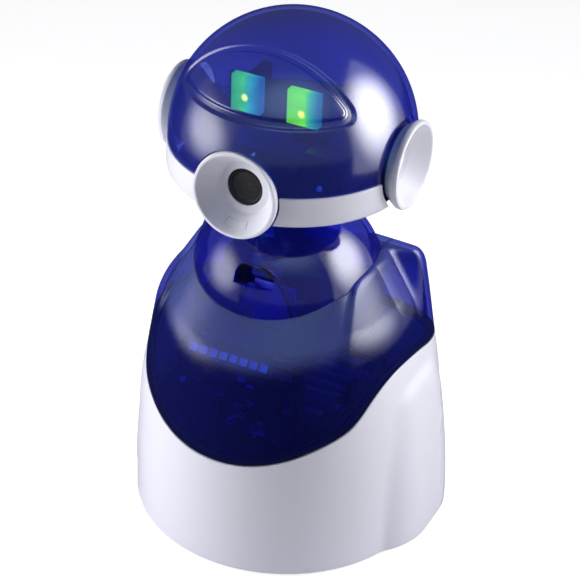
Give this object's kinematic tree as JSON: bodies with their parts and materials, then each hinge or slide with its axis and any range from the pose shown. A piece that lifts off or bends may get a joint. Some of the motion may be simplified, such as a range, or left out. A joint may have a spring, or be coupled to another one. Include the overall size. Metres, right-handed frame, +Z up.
{
  "type": "mecanum wheel robot",
  "caption": "Small domed-head robot toy: translucent blue head, bulb neck and chest on a white skirted base, with round funnels at nose and ears and hidden mecanum wheels.",
  "frame": {"origin": "centre of the footprint's box on the floor, under the wheels", "axes": "+Z up, -Y is the robot's front, +X is the robot's left"},
  "size_m": [0.14, 0.126, 0.2285],
  "materials": {
    "white": "glossy",
    "blue": "glossy translucent",
    "frame": "matte",
    "cell": "satin",
    "board": "satin",
    "board_light": "satin",
    "chest_light": "glossy",
    "eye_light": "glossy",
    "servo": "satin",
    "motor": "brushed",
    "hub": "matte",
    "roller": "matte",
    "wire_black": "satin",
    "wire_red": "satin",
    "steel": "satin",
    "sensor": "satin",
    "rocker": "glossy"
  },
  "bodies": {
    "base": {"base_shell": "white", "torso_shell": "blue", "neck_dome": "blue", "chassis_deck": "frame", "motor_tray": "frame", "motor_front_left": "motor", "motor_front_right": "motor", "motor_rear_left": "motor", "motor_rear_right": "motor", "battery_cells": "cell", "chest_board": "board", "chest_leds": "chest_light", "pan_servo": "servo", "neck_frame": "frame", "wire_black": "wire_black", "wire_red": "wire_red", "screws": "steel"},
    "wheel_front_left": {"wheel_front_left": "hub"},
    "roller_front_left_1": {"roller_front_left_1": "roller"},
    "roller_front_left_2": {"roller_front_left_2": "roller"},
    "roller_front_left_3": {"roller_front_left_3": "roller"},
    "roller_front_left_4": {"roller_front_left_4": "roller"},
    "roller_front_left_5": {"roller_front_left_5": "roller"},
    "roller_front_left_6": {"roller_front_left_6": "roller"},
    "wheel_front_right": {"wheel_front_right": "hub"},
    "roller_front_right_1": {"roller_front_right_1": "roller"},
    "roller_front_right_2": {"roller_front_right_2": "roller"},
    "roller_front_right_3": {"roller_front_right_3": "roller"},
    "roller_front_right_4": {"roller_front_right_4": "roller"},
    "roller_front_right_5": {"roller_front_right_5": "roller"},
    "roller_front_right_6": {"roller_front_right_6": "roller"},
    "wheel_rear_left": {"wheel_rear_left": "hub"},
    "roller_rear_left_1": {"roller_rear_left_1": "roller"},
    "roller_rear_left_2": {"roller_rear_left_2": "roller"},
    "roller_rear_left_3": {"roller_rear_left_3": "roller"},
    "roller_rear_left_4": {"roller_rear_left_4": "roller"},
    "roller_rear_left_5": {"roller_rear_left_5": "roller"},
    "roller_rear_left_6": {"roller_rear_left_6": "roller"},
    "wheel_rear_right": {"wheel_rear_right": "hub"},
    "roller_rear_right_1": {"roller_rear_right_1": "roller"},
    "roller_rear_right_2": {"roller_rear_right_2": "roller"},
    "roller_rear_right_3": {"roller_rear_right_3": "roller"},
    "roller_rear_right_4": {"roller_rear_right_4": "roller"},
    "roller_rear_right_5": {"roller_rear_right_5": "roller"},
    "roller_rear_right_6": {"roller_rear_right_6": "roller"},
    "neck": {"pan_post": "frame", "tilt_servo": "servo"},
    "head": {"head_frame": "frame", "head_band": "white", "head_dome": "blue", "nose_funnel": "white", "nose_sensor": "sensor", "ear_left_funnel": "white", "ear_left_sensor": "sensor", "ear_right_funnel": "white", "ear_right_sensor": "sensor", "face_board": "board_light", "eye_left": "eye_light", "eye_right": "eye_light"},
    "power": {"power_rocker": "rocker"}
  },
  "joints": [
    {"name": "spin_front_left", "type": "hinge", "parent": "base", "child": "wheel_front_left", "pos_m": [0.038, -0.015, 0.018], "axis": [1, 0, 0], "continuous": true},
    {"name": "turn_front_left_1", "type": "hinge", "parent": "wheel_front_left", "child": "roller_front_left_1", "pos_m": [0.038, -0.015, 0.0048], "axis": [0.7071, 0.7071, 0], "continuous": true},
    {"name": "turn_front_left_2", "type": "hinge", "parent": "wheel_front_left", "child": "roller_front_left_2", "pos_m": [0.038, -0.00357, 0.0114], "axis": [0.7071, 0.3536, 0.6124], "continuous": true},
    {"name": "turn_front_left_3", "type": "hinge", "parent": "wheel_front_left", "child": "roller_front_left_3", "pos_m": [0.038, -0.00357, 0.0246], "axis": [0.7071, -0.3536, 0.6124], "continuous": true},
    {"name": "turn_front_left_4", "type": "hinge", "parent": "wheel_front_left", "child": "roller_front_left_4", "pos_m": [0.038, -0.015, 0.0312], "axis": [0.7071, -0.7071, 0], "continuous": true},
    {"name": "turn_front_left_5", "type": "hinge", "parent": "wheel_front_left", "child": "roller_front_left_5", "pos_m": [0.038, -0.02643, 0.0246], "axis": [0.7071, -0.3536, -0.6124], "continuous": true},
    {"name": "turn_front_left_6", "type": "hinge", "parent": "wheel_front_left", "child": "roller_front_left_6", "pos_m": [0.038, -0.02643, 0.0114], "axis": [0.7071, 0.3536, -0.6124], "continuous": true},
    {"name": "spin_front_right", "type": "hinge", "parent": "base", "child": "wheel_front_right", "pos_m": [-0.038, -0.015, 0.018], "axis": [1, 0, 0], "continuous": true},
    {"name": "turn_front_right_1", "type": "hinge", "parent": "wheel_front_right", "child": "roller_front_right_1", "pos_m": [-0.038, -0.015, 0.0048], "axis": [0.7071, -0.7071, 0], "continuous": true},
    {"name": "turn_front_right_2", "type": "hinge", "parent": "wheel_front_right", "child": "roller_front_right_2", "pos_m": [-0.038, -0.00357, 0.0114], "axis": [0.7071, -0.3536, -0.6124], "continuous": true},
    {"name": "turn_front_right_3", "type": "hinge", "parent": "wheel_front_right", "child": "roller_front_right_3", "pos_m": [-0.038, -0.00357, 0.0246], "axis": [0.7071, 0.3536, -0.6124], "continuous": true},
    {"name": "turn_front_right_4", "type": "hinge", "parent": "wheel_front_right", "child": "roller_front_right_4", "pos_m": [-0.038, -0.015, 0.0312], "axis": [0.7071, 0.7071, 0], "continuous": true},
    {"name": "turn_front_right_5", "type": "hinge", "parent": "wheel_front_right", "child": "roller_front_right_5", "pos_m": [-0.038, -0.02643, 0.0246], "axis": [0.7071, 0.3536, 0.6124], "continuous": true},
    {"name": "turn_front_right_6", "type": "hinge", "parent": "wheel_front_right", "child": "roller_front_right_6", "pos_m": [-0.038, -0.02643, 0.0114], "axis": [0.7071, -0.3536, 0.6124], "continuous": true},
    {"name": "spin_rear_left", "type": "hinge", "parent": "base", "child": "wheel_rear_left", "pos_m": [0.038, 0.027, 0.018], "axis": [1, 0, 0], "continuous": true},
    {"name": "turn_rear_left_1", "type": "hinge", "parent": "wheel_rear_left", "child": "roller_rear_left_1", "pos_m": [0.038, 0.027, 0.0048], "axis": [0.7071, -0.7071, 0], "continuous": true},
    {"name": "turn_rear_left_2", "type": "hinge", "parent": "wheel_rear_left", "child": "roller_rear_left_2", "pos_m": [0.038, 0.03843, 0.0114], "axis": [0.7071, -0.3536, -0.6124], "continuous": true},
    {"name": "turn_rear_left_3", "type": "hinge", "parent": "wheel_rear_left", "child": "roller_rear_left_3", "pos_m": [0.038, 0.03843, 0.0246], "axis": [0.7071, 0.3536, -0.6124], "continuous": true},
    {"name": "turn_rear_left_4", "type": "hinge", "parent": "wheel_rear_left", "child": "roller_rear_left_4", "pos_m": [0.038, 0.027, 0.0312], "axis": [0.7071, 0.7071, 0], "continuous": true},
    {"name": "turn_rear_left_5", "type": "hinge", "parent": "wheel_rear_left", "child": "roller_rear_left_5", "pos_m": [0.038, 0.01557, 0.0246], "axis": [0.7071, 0.3536, 0.6124], "continuous": true},
    {"name": "turn_rear_left_6", "type": "hinge", "parent": "wheel_rear_left", "child": "roller_rear_left_6", "pos_m": [0.038, 0.01557, 0.0114], "axis": [0.7071, -0.3536, 0.6124], "continuous": true},
    {"name": "spin_rear_right", "type": "hinge", "parent": "base", "child": "wheel_rear_right", "pos_m": [-0.038, 0.027, 0.018], "axis": [1, 0, 0], "continuous": true},
    {"name": "turn_rear_right_1", "type": "hinge", "parent": "wheel_rear_right", "child": "roller_rear_right_1", "pos_m": [-0.038, 0.027, 0.0048], "axis": [0.7071, 0.7071, 0], "continuous": true},
    {"name": "turn_rear_right_2", "type": "hinge", "parent": "wheel_rear_right", "child": "roller_rear_right_2", "pos_m": [-0.038, 0.03843, 0.0114], "axis": [0.7071, 0.3536, 0.6124], "continuous": true},
    {"name": "turn_rear_right_3", "type": "hinge", "parent": "wheel_rear_right", "child": "roller_rear_right_3", "pos_m": [-0.038, 0.03843, 0.0246], "axis": [0.7071, -0.3536, 0.6124], "continuous": true},
    {"name": "turn_rear_right_4", "type": "hinge", "parent": "wheel_rear_right", "child": "roller_rear_right_4", "pos_m": [-0.038, 0.027, 0.0312], "axis": [0.7071, -0.7071, 0], "continuous": true},
    {"name": "turn_rear_right_5", "type": "hinge", "parent": "wheel_rear_right", "child": "roller_rear_right_5", "pos_m": [-0.038, 0.01557, 0.0246], "axis": [0.7071, -0.3536, -0.6124], "continuous": true},
    {"name": "turn_rear_right_6", "type": "hinge", "parent": "wheel_rear_right", "child": "roller_rear_right_6", "pos_m": [-0.038, 0.01557, 0.0114], "axis": [0.7071, 0.3536, -0.6124], "continuous": true},
    {"name": "head_pan", "type": "hinge", "parent": "base", "child": "neck", "pos_m": [0, 0, 0.14], "axis": [0, 0, 1], "range_deg": [-70, 70]},
    {"name": "head_tilt", "type": "hinge", "parent": "neck", "child": "head", "pos_m": [0, 0, 0.17], "axis": [1, 0, 0], "range_deg": [-12, 12]},
    {"name": "power_rock", "type": "hinge", "parent": "base", "child": "power", "pos_m": [0, 0.059, 0.0547], "axis": [1, 0, 0], "range_deg": [-9, 9]}
  ]
}
